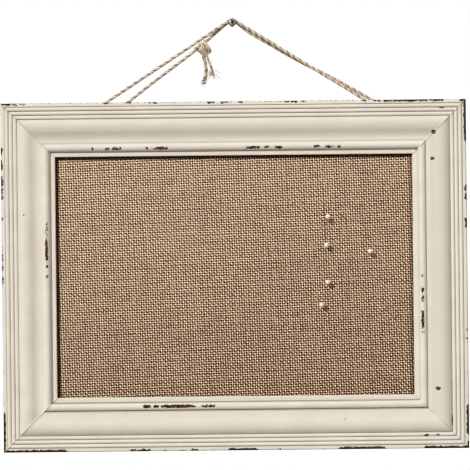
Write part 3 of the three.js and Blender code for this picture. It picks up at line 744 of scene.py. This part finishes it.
def moulding_face():
    """Distance in from the outer edge against height above the back, and the places worth knowing."""
    face = arc(ARRIS_RADIUS, BAND_HEIGHT - ARRIS_RADIUS, ARRIS_RADIUS, 180, 90, 8)
    face += [(x, BAND_HEIGHT) for x in np.linspace(ARRIS_RADIUS, BAND_WIDTH - BAND_EASE, 4)[1:]]
    radius = REED_PITCH**2 / (8 * REED_RISE) + REED_RISE / 2
    half = math.degrees(math.acos((radius - REED_RISE) / radius))
    grooves = [BAND_WIDTH + i * REED_PITCH for i in range(REED_COUNT + 1)]
    for groove in grooves[:-1]:
        centre = groove + REED_PITCH / 2
        face += arc(centre, GROOVE_HEIGHT + REED_RISE - radius, radius, 90 + half, 90 - half, 10)
    crest = grooves[-1] + DOME_RADIUS * math.sin(math.radians(DOME_SWEEP))
    face += arc(crest, CREST_HEIGHT - DOME_RADIUS, DOME_RADIUS, 90 + DOME_SWEEP, 90, 10)
    fall = 90 - SHOULDER_SWEEP
    face += arc(crest, CREST_HEIGHT - SHOULDER_RADIUS, SHOULDER_RADIUS, 90, fall, 7)[1:]
    reach = SHOULDER_RADIUS + COVE_RADIUS
    trough = crest + reach * math.sin(math.radians(SHOULDER_SWEEP))
    trough_height = CREST_HEIGHT - reach * (1 - math.cos(math.radians(SHOULDER_SWEEP)))
    face += arc(trough, trough_height + COVE_RADIUS, COVE_RADIUS, 180 + fall, 270, 8)[1:]
    sink = math.asin(BEAD_SINK / BEAD_RADIUS)
    bead = trough + TROUGH_FLAT + BEAD_RADIUS * math.cos(sink)
    face += arc(bead, trough_height - BEAD_SINK, BEAD_RADIUS, 180 - math.degrees(sink), -QUIRK_ANGLE, 18)
    quirk, lip_height = face[-1][0], face[-1][1] - QUIRK_DEPTH
    sight = quirk + LIP_WIDTH
    face += [(x, lip_height) for x in np.linspace(quirk, sight - LIP_EDGE_RADIUS, 5)[:-1]]
    face += arc(sight - LIP_EDGE_RADIUS, lip_height - LIP_EDGE_RADIUS, LIP_EDGE_RADIUS, 90, 0, 5)
    places = {"grooves": grooves, "trough": trough, "bead": bead}
    places |= {"quirk": quirk, "sight": sight, "lip": lip_height}
    return face, places


FACE, PLACES = moulding_face()
SEAT_HEIGHT = PLACES["lip"] - LIP_THICKNESS
RABBET_WALL = PLACES["sight"] - RABBET_WIDTH
PANEL_WIDTH = FRAME_WIDTH - 2 * RABBET_WALL - 2 * PANEL_PLAY
PANEL_HEIGHT = FRAME_HEIGHT - 2 * RABBET_WALL - 2 * PANEL_PLAY

# Each rail's solid, the way it runs, the way in from its outer edge, its length, and the distance from the
# frame's middle to its outer edge
RAILS = {
    "top": ("top_rail", Vector((1, 0, 0)), Vector((0, 0, -1)), FRAME_WIDTH, FRAME_HEIGHT / 2),
    "bottom": ("bottom_rail", Vector((1, 0, 0)), Vector((0, 0, 1)), FRAME_WIDTH, FRAME_HEIGHT / 2),
    "left": ("left_stile", Vector((0, 0, 1)), Vector((1, 0, 0)), FRAME_HEIGHT, FRAME_WIDTH / 2),
    "right": ("right_stile", Vector((0, 0, 1)), Vector((-1, 0, 0)), FRAME_HEIGHT, FRAME_WIDTH / 2),
}
MIDDLE = Vector((0, 0, FRAME_CENTRE))


def worn(side, along, across, height):
    """How far the paint is worn at each point, from 0 to above 1."""
    front = height > FRONT_HEIGHT
    down_side = (BAND_HEIGHT - ARRIS_RADIUS - height) / MM
    along, across, height = along / MM, across / MM, height / MM
    from_edge = np.where(front, across, across + down_side * 0.8)
    edge = np.clip(1.35 - from_edge / EDGE_REACH[side], 0, 1)
    wear = EDGE_FLECKS[side] * np.clip(1.3 - from_edge / 1.3, 0, 1)
    for start, end, strength in EDGE_CHIPS[side]:
        inside = np.clip((along - start) / 2 + 0.7, 0, 1) * np.clip((end - along) / 2 + 0.7, 0, 1)
        wear = np.maximum(wear, strength * inside * edge)
    from_crown = np.abs(across - PLACES["bead"] / MM - BEAD_CHIP_SHIFT[side])
    bead = np.clip(1.4 - from_crown / 1.5, 0, 1) * front
    for start, end, strength in BEAD_CHIPS[side]:
        share = np.clip((along - start + 0.8) / (end - start + 1.6), 0, 1)
        inside = (4 * share * (1 - share)) ** 0.4
        wear = np.maximum(wear, 1.15 * strength * inside * bead)
    for rail, place, inset, half_length, half_width in FACE_CHIPS:
        if rail == side:
            away = np.hypot((along - place) / half_length, (across - inset) / half_width)
            wear = np.maximum(wear, np.clip(1.9 - away * 1.2, 0, 1.6) * (height > 15))
    return wear


BRADS_THROUGH = {"top": ["brad_mitre"], "right": ["brad_mitre", "brad_upper", "brad_lower"]}


def wedge_slot(name):
    """The slot that a wedge was driven down, open at the frame's back."""
    slot = bpy.data.objects.new("slot", nodes[name].data.copy())
    bpy.context.collection.objects.link(slot)
    editing(slot)
    bpy.ops.mesh.remove_doubles(threshold=0.001 * MM)
    bpy.ops.transform.translate(value=(0, SLOT_OVERRUN, 0))
    done_editing()
    bpy.ops.mesh.customdata_custom_splitnormals_clear()
    return slot


def brad_crater(name):
    """The broken paint and crushed wood round a brad's sunk head."""
    low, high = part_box(name)
    nothing_selected()
    bpy.ops.mesh.primitive_cone_add(
        vertices=28, radius1=BRAD_CRATER_RADIUS * 0.8, radius2=BRAD_CRATER_RADIUS * 1.25, depth=2 * MM,
        location=((low.x + high.x) / 2, low.y - 0.6 * MM, (low.z + high.z) / 2),
        rotation=(math.pi / 2, 0, 0), calc_uvs=False,
    )
    crater = bpy.context.object
    settle(crater)
    return crater


def carve(piece, cutter):
    apply_modifier(piece, "BOOLEAN", operation="DIFFERENCE", solver="EXACT", object=cutter)
    bpy.data.objects.remove(cutter)
    editing(piece)
    bpy.ops.mesh.dissolve_degenerate(threshold=0.01 * MM)
    done_editing()


def add_rail(side):
    node, run, inward, length, reach = RAILS[side]
    section = [(0.0, h) for h in np.linspace(0, FACE[0][1], 8)[:-1]] + FACE
    section += [(PLACES["sight"], SEAT_HEIGHT), (RABBET_WALL, SEAT_HEIGHT), (RABBET_WALL, 0.0)]
    outer = MIDDLE - inward * reach - run * (length / 2)
    outline = [outer + inward * u + Vector((0, BACK_PLANE - h, 0)) for u, h in section]
    count = len(outline)
    rail = mesh_piece(node, outline, [], [(i, (i + 1) % count) for i in range(count)])
    axis = "X" if run.x else "Z"
    apply_modifier(
        rail, "SCREW", axis=axis, angle=0, screw_offset=length, steps=RAIL_STEPS,
        render_steps=RAIL_STEPS, use_merge_vertices=False,
    )
    for end in (-1, 1):
        editing(rail)
        cracked = end < 0 and side in ("bottom", "left")
        gap = OPEN_MITRE_GAP if cracked else MITRE_GAP
        corner = MIDDLE - inward * reach + run * end * (length / 2 - gap * math.sqrt(0.5))
        bpy.ops.mesh.bisect(plane_co=corner, plane_no=-run * end - inward, clear_inner=True, threshold=1e-7)
        done_editing()
    editing(rail)
    bpy.ops.mesh.remove_doubles(threshold=0.001 * MM)
    close_ends()
    done_editing()
    for name in nodes:
        if name.startswith("v_nail_") and side in name:
            carve(rail, wedge_slot(name))
    for name in BRADS_THROUGH.get(side, ()):
        carve(rail, brad_crater(name))

    points = mesh_points(rail) - np.array(MIDDLE)
    along = points @ np.array(run)
    across = points @ np.array(inward) + reach
    height = BACK_PLANE - points[:, 1]
    set_attribute(rail, "along", along + 7 * list(RAILS).index(side))
    set_attribute(rail, "across", across)
    set_attribute(rail, "wear", worn(side, along, across, height))
    # Dark lines at the grooves, trough and quirk, part dirt and part painted shade, and painted shade over
    # the field's hollow.
    darkening = np.zeros(len(points))
    lines = [(groove, GROOVE_DIRT_AND_SHADE[side]) for groove in PLACES["grooves"]]
    lines += [(place, BEAD_DIRT_AND_SHADE[side]) for place in (PLACES["trough"] + TROUGH_FLAT, PLACES["quirk"])]
    for place, amount in lines:
        darkening = np.maximum(darkening, amount * np.exp(-(((across - place) / GROOVE_DARKENING_WIDTH) ** 2)))
    # Painted shade over the field's hollow.
    outer, inner = PLACES["grooves"][-1], PLACES["trough"]
    hollow = np.clip((across - outer) / (6 * MM), 0, 1) * np.clip((inner - across) / (4 * MM), 0, 1)
    hollow = HOLLOW_SHADE[side] * hollow * (height > 5 * MM)
    set_attribute(rail, "grime_and_shade", np.maximum(darkening * (height > FRONT_HEIGHT), hollow))
    mitre = np.abs(length / 2 - across - np.abs(along))
    set_attribute(rail, "mitre", mitre)
    lumpy = LUMPS[side] * (along > 0) * (across < PLACES["grooves"][-1]) * (height > 5 * MM)
    set_attribute(rail, "lumps", lumpy * np.exp(-((mitre / (12 * MM)) ** 2)))
    hidden = (height < 0.4 * MM) | (across > RABBET_WALL - 0.1 * MM) & (height < SEAT_HEIGHT + 0.2 * MM)
    set_attribute(rail, "bare", hidden.astype(float))
    dress(rail, node + "_moulding", CREAM_PAINT, "board", [node], 32)


# Burlap
def add_burlap_ground():
    """One cut of cloth over the cork, turned down its sides and under its back."""
    nothing_selected()
    front = BACK_PLANE - CLOTH_HEIGHT
    bpy.ops.mesh.primitive_plane_add(size=1, location=(0, front, FRAME_CENTRE), rotation=(math.pi / 2, 0, 0))
    cloth = bpy.context.object
    cloth.scale = (PANEL_WIDTH - CLOTH_PLAY, PANEL_HEIGHT - CLOTH_PLAY, 1)
    settle(cloth)
    editing(cloth, "DESELECT")
    bpy.ops.mesh.select_mode(type="EDGE")
    bpy.ops.mesh.select_all(action="SELECT")
    bpy.ops.mesh.extrude_edges_move(TRANSFORM_OT_translate={"value": (0, CLOTH_DEPTH, 0)})
    bpy.ops.mesh.extrude_edges_move(TRANSFORM_OT_translate={"value": (0, 0, 0)})
    bpy.ops.transform.resize(
        value=(1 - 2 * BURLAP_HEM / PANEL_WIDTH, 1, 1 - 2 * BURLAP_HEM / PANEL_HEIGHT),
        center_override=(0, front + CLOTH_DEPTH, FRAME_CENTRE),
    )
    bpy.ops.mesh.select_all(action="SELECT")
    bpy.ops.mesh.normals_make_consistent(inside=False)
    done_editing()
    return dress(cloth, "burlap_ground", BURLAP_GROUND, "board", ["burlap_cover"])


def wander(count, spacing, size):
    """Slow random change along a thread."""
    marks = max(3, count // spacing + 2)
    return np.interp(np.arange(count), np.linspace(0, count - 1, marks), chance.normal(0, size, marks))


def add_threads(name, warp, first, last):
    """A set of neighbouring yarns of the plain weave, warp upright or weft across."""
    weft_way = np.array((math.cos(WEAVE_TURN), math.sin(WEAVE_TURN)))
    warp_way = np.array((-math.sin(WEAVE_TURN), math.cos(WEAVE_TURN)))
    run, step = (warp_way, weft_way) if warp else (weft_way, warp_way)
    half = np.array((PANEL_WIDTH, PANEL_HEIGHT)) / 2 - YARN_INSET
    section = np.array([(-1, -0.25), (-0.45, 0.85), (0.45, 0.85), (1, -0.25)])
    points, faces = [], []
    marks = {label: [] for label in ("along", "across", "tone", "rise", "twist", "lip_shadow")}
    base = 0
    for number in range(first, last):
        k = np.arange(-HALF_PITCHES, HALF_PITCHES + 1)
        spots = number * THREAD_PITCH * step + (k * THREAD_PITCH / 2)[:, None] * run
        inside = np.all(np.abs(spots) < half, axis=1)
        if inside.sum() < 6:
            continue
        k, spots = k[inside], spots[inside]
        count = len(k)
        girth = np.clip(chance.normal(1, 0.025) + wander(count, 9, 0.06), 0.8, 1.25)
        # Brighter towards the top and left, darker towards the bottom right and along the bottom 24 mm.
        light = 0.48 + 0.18 * spots[:, 1] / half[1] - 0.1 * spots[:, 0] / half[0]
        light -= 0.14 * np.clip(1 - (half[1] + spots[:, 1]) / (24 * MM), 0, 1)
        seen = half - (RABBET_WIDTH - PANEL_PLAY - YARN_INSET)
        # Painted shadow of the frame's lip on the cloth: darkest along the top and left, weaker on the
        # right, none at the bottom.
        darkening = np.zeros(count)
        for shadow_strength, away in (
            (0.9, seen[1] - spots[:, 1]), (0.9, seen[0] + spots[:, 0]), (0.55, seen[0] - spots[:, 0])
        ):
            darkening = np.maximum(darkening, shadow_strength * np.clip(1.7 - away / (2.6 * MM), 0, 1))
        spots = spots + (chance.normal(0, 0.05) + wander(count, 14, 0.1))[:, None] * MM * step
        swing = np.cos(np.pi * (k / 2 + number)) * (1 if warp else -1)
        height = YARN_HEIGHT + WEAVE_SWING * swing
        size = np.stack([THREAD_HALF_WIDTH * girth, THREAD_HALF_HEIGHT * girth**0.5], 1)
        ring = section[None] * size[:, None]
        flat = spots[:, None] + ring[:, :, :1] * step
        level = height[:, None] + ring[:, :, 1]
        solid = np.stack([flat[..., 0], BACK_PLANE - level, FRAME_CENTRE + flat[..., 1]], 2)
        points.append(solid.reshape(-1, 3))
        for i in range(count - 1):
            low, high = base + 4 * i, base + 4 * i + 4
            faces += [(low + j, low + (j + 1) % 4, high + (j + 1) % 4, high + j) for j in range(4)]
        faces += [(base + 3, base + 2, base + 1, base), tuple(base + 4 * count - 4 + j for j in range(4))]
        shade = light + chance.normal(0, 0.04) + wander(count, 7, 0.07) + chance.normal(0, 0.16, count)
        marks["along"].append(np.repeat(k * THREAD_PITCH / 2, 4))
        marks["across"].append(np.tile([0.0, 0.35, 0.65, 1.0], count) * 2 * MM)
        marks["tone"].append(np.repeat(shade, 4))
        # Painted light: paler where the yarn crosses on top, darker where it dips under and at its sides.
        marks["rise"].append((0.5 + 0.5 * swing[:, None]) * np.array([0.3, 1, 1, 0.3])[None])
        # Painted shading along the twist: warp-over crossings lighter, weft-over crossings darker.
        diagonal = flat @ (run + step)
        marks["twist"].append(np.cos(np.pi * diagonal / THREAD_PITCH).ravel())
        marks["lip_shadow"].append(np.repeat(darkening, 4))
        base += 4 * count
    piece = mesh_piece(name, np.concatenate(points), faces)
    for label, values in marks.items():
        set_attribute(piece, label, np.concatenate(values).ravel())
    editing(piece)
    bpy.ops.mesh.normals_make_consistent(inside=False)
    done_editing()
    piece.data.polygons.foreach_set("use_smooth", [True] * len(piece.data.polygons))
    return dress(piece, name, BURLAP, "board")


def add_burlap():
    ground = add_burlap_ground()
    yarns = [
        add_threads("burlap_warp_left", True, -WARP_REACH, 0),
        add_threads("burlap_warp_right", True, 0, WARP_REACH),
        add_threads("burlap_weft_lower", False, -WEFT_REACH, 0),
        add_threads("burlap_weft_upper", False, 0, WEFT_REACH),
    ]
    turned = 2 * (BURLAP_DEPTH + BURLAP_HEM)
    round(PANEL_WIDTH + turned, 3)
    round(PANEL_HEIGHT + turned, 3)


# Pins
def add_pins():
    """Round heads, cut flat where the needle goes in."""
    for number in range(1, 6):
        head = f"pin_head_{number}"
        low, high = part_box(head)
        centre = ((low.x + high.x) / 2, low.y + PIN_HEAD_RADIUS, (low.z + high.z) / 2)
        nothing_selected()
        bpy.ops.mesh.primitive_uv_sphere_add(
            segments=32, ring_count=20, radius=PIN_HEAD_RADIUS, location=centre, rotation=(math.pi / 2, 0, 0)
        )
        ball = bpy.context.object
        settle(ball)
        editing(ball)
        bpy.ops.mesh.bisect(plane_co=(0, high.y, 0), plane_no=(0, 1, 0), use_fill=True, clear_outer=True)
        bpy.ops.mesh.bevel(offset=0.15 * MM, segments=3, affect="EDGES")
        done_editing()
        dress(ball, f"pin_ball_{number}", PIN_PLASTIC, f"pin_{number}", [head], 40)


# Screw
def add_wall_screw():
    """A cross-head screw, turned upright and then laid on its slant."""
    under, crown = SCREW_SHOWN, SCREW_HEAD_HEIGHT - SCREW_HEAD_RIM
    section = [(0, -SCREW_BURIED), (SCREW_SHANK_RADIUS * 0.8, SCREW_POINT - SCREW_BURIED)]
    section += [(SCREW_SHANK_RADIUS * 0.86, -9 * MM), (SCREW_SHANK_RADIUS, -8 * MM)]
    section += [(SCREW_SHANK_RADIUS, under), (SCREW_HEAD_RADIUS - SCREW_HEAD_EASE, under)]
    section += [(SCREW_HEAD_RADIUS, under + SCREW_HEAD_EASE)]
    section += [
        (SCREW_HEAD_RADIUS * math.cos(a), under + SCREW_HEAD_RIM + crown * math.sin(a))
        for a in np.linspace(0, math.pi / 2, 11)
    ]
    outline = [(radius, 0, height) for radius, height in section]
    screw = mesh_piece("screw", outline, [], [(i, i + 1) for i in range(len(outline) - 1)])
    apply_modifier(
        screw, "SCREW", axis="Z", angle=2 * math.pi, steps=SCREW_SIDES, render_steps=SCREW_SIDES,
        use_merge_vertices=False,
    )
    editing(screw)
    bpy.ops.mesh.remove_doubles(threshold=0.01 * MM)
    bpy.ops.mesh.normals_make_consistent(inside=False)
    done_editing()
    for turn in (RECESS_TURN, RECESS_TURN + math.pi / 2):
        nothing_selected()
        bpy.ops.mesh.primitive_cube_add(size=1)
        bar = bpy.context.object
        bar.scale = (RECESS_SPAN, RECESS_WIDTH, RECESS_DEPTH + MM)
        settle(bar)
        for corner in bar.data.vertices:
            if corner.co.z < 0:
                corner.co.x *= 0.45
                corner.co.y *= 0.6
        bar.location.z = under + SCREW_HEAD_HEIGHT + (MM - RECESS_DEPTH) / 2
        bar.rotation_euler.z = turn
        settle(bar)
        carve(screw, bar)

    core, start = SCREW_SHANK_RADIUS * 0.8, SCREW_THREAD_START - SCREW_BURIED
    ridge = [
        (core, 0, start),
        (core + SCREW_THREAD_DEPTH, 0, start + SCREW_THREAD_WIDTH / 2),
        (core, 0, start + SCREW_THREAD_WIDTH),
    ]
    thread = mesh_piece("thread", ridge, [], [(0, 1), (1, 2), (2, 0)])
    apply_modifier(
        thread, "SCREW", axis="Z", angle=2 * math.pi, screw_offset=SCREW_THREAD_PITCH,
        iterations=SCREW_THREAD_TURNS, steps=SCREW_THREAD_STEPS, render_steps=SCREW_THREAD_STEPS,
        use_merge_vertices=False,
    )
    editing(thread)
    close_ends()
    done_editing()
    just(screw)
    thread.select_set(True)
    bpy.ops.object.join()

    points = mesh_points(screw)
    radius = np.hypot(points[:, 0], points[:, 1])
    dome = under + SCREW_HEAD_RIM + crown * np.sqrt(np.clip(1 - (radius / SCREW_HEAD_RADIUS) ** 2, 0, 1))
    # Near-black painted shade inside the cross recess.
    recessed = (points[:, 2] > under + 0.5 * MM) & (points[:, 2] < dome - 0.3 * MM)
    set_attribute(screw, "recess_shade", recessed.astype(float))
    screw.rotation_euler = (math.pi / 2 - SCREW_SLANT, 0, 0)
    settle(screw)
    dress(screw, "cross_head_screw", ZINC, "wall_screw", ["wall_screw"], 35)


# Carried-over solids
def finish_nodes():
    finishes = {
        ("v_nail", "point", "staple", "pin_needle"): BRIGHT_STEEL,
        "brad": RUSTY,
        "cork_sheet": CORK,
        "hardboard_back": HARDBOARD,
    }
    for name, node in nodes.items():
        for start, material in finishes.items():
            if name.startswith(start):
                node.material_slots[0].material = material


# Stage
def add_stage():
    nothing_selected()
    below = TOP_EDGE - FRAME_HEIGHT - FLOOR_DROP
    bpy.ops.mesh.primitive_circle_add(vertices=128, radius=5, fill_type="NGON", location=(0, 0, below))
    floor = bpy.context.object
    floor.name = "floor"
    pale = Finish("pale_floor", Roughness=0.8, Specular_IOR_Level=0.1)
    grain = pale.noise(pale.place(), 30, 2)
    floor.data.materials.append(pale.wears(pale.mix(grain, tint("d0cfcd"), tint("d6d5d3"))))
    pale.whitens(0.75, Value(pale, pale.surface.outputs[0]))

    bpy.ops.mesh.primitive_plane_add(size=4, location=(0, 0, 0), rotation=(math.pi / 2, 0, 0))
    wall = bpy.context.object
    wall.name = "wall"
    white = Finish("white_wall")
    white.whitens(1 - white.node("NewGeometry", {}, {}, "Backfacing"), white.node("BsdfTransparent", {}, {}))
    wall.data.materials.append(white.material)


def add_lamp(kind, towards, strength, away=0.0, **shape):
    lamp = bpy.data.lights.new(kind.lower(), kind)
    lamp.energy = strength
    for name, value in shape.items():
        setattr(lamp, name, value)
    holder = bpy.data.objects.new(kind.lower(), lamp)
    heading = Vector(towards).normalized()
    holder.location = MIDDLE - heading * away
    holder.rotation_euler = heading.to_track_quat("-Z", "Y").to_euler()
    bpy.context.collection.objects.link(holder)


def add_light():
    """A sun from the upper left, a soft lamp from the upper right, a weak sun behind and a white room."""
    add_lamp("SUN", (0.68, 1, -0.72), 3.1, angle=math.radians(2))
    add_lamp("AREA", (-0.5, 1, -1.15), 13, away=2.2, shape="DISK", size=2.0)
    add_lamp("SUN", (-0.5, -1, -0.2), 1.5, angle=math.radians(20))
    world = bpy.data.worlds.new("studio")
    bpy.context.scene.world = world
    world.use_nodes = True
    links, made = world.node_tree.links, world.node_tree.nodes
    made.clear()
    output = made.new("ShaderNodeOutputWorld")
    paths = made.new("ShaderNodeLightPath")
    seen = paths.outputs["Is Camera Ray"]
    for ray in ("Is Glossy Ray", "Is Transmission Ray"):
        either = made.new("ShaderNodeMath")
        either.operation = "MAXIMUM"
        links.new(seen, either.inputs[0])
        links.new(paths.outputs[ray], either.inputs[1])
        seen = either.outputs[0]
    soft = made.new("ShaderNodeBackground")
    soft.inputs["Color"].default_value = (1, 0.985, 0.96, 1)
    soft.inputs["Strength"].default_value = ROOM_LIGHT
    white = made.new("ShaderNodeBackground")
    white.inputs["Color"].default_value = (1, 1, 1, 1)
    white.inputs["Strength"].default_value = 1.0
    blend = made.new("ShaderNodeMixShader")
    links.new(seen, blend.inputs[0])
    links.new(soft.outputs[0], blend.inputs[1])
    links.new(white.outputs[0], blend.inputs[2])
    links.new(blend.outputs[0], output.inputs[0])


add_camera()
add_twine()
for rail_side in RAILS:
    add_rail(rail_side)
add_burlap()
add_pins()
add_wall_screw()
finish_nodes()
add_stage()
add_light()
bpy.context.scene.view_settings.view_transform = "Standard"
bpy.context.scene.cycles.filter_width = PIXEL_FILTER
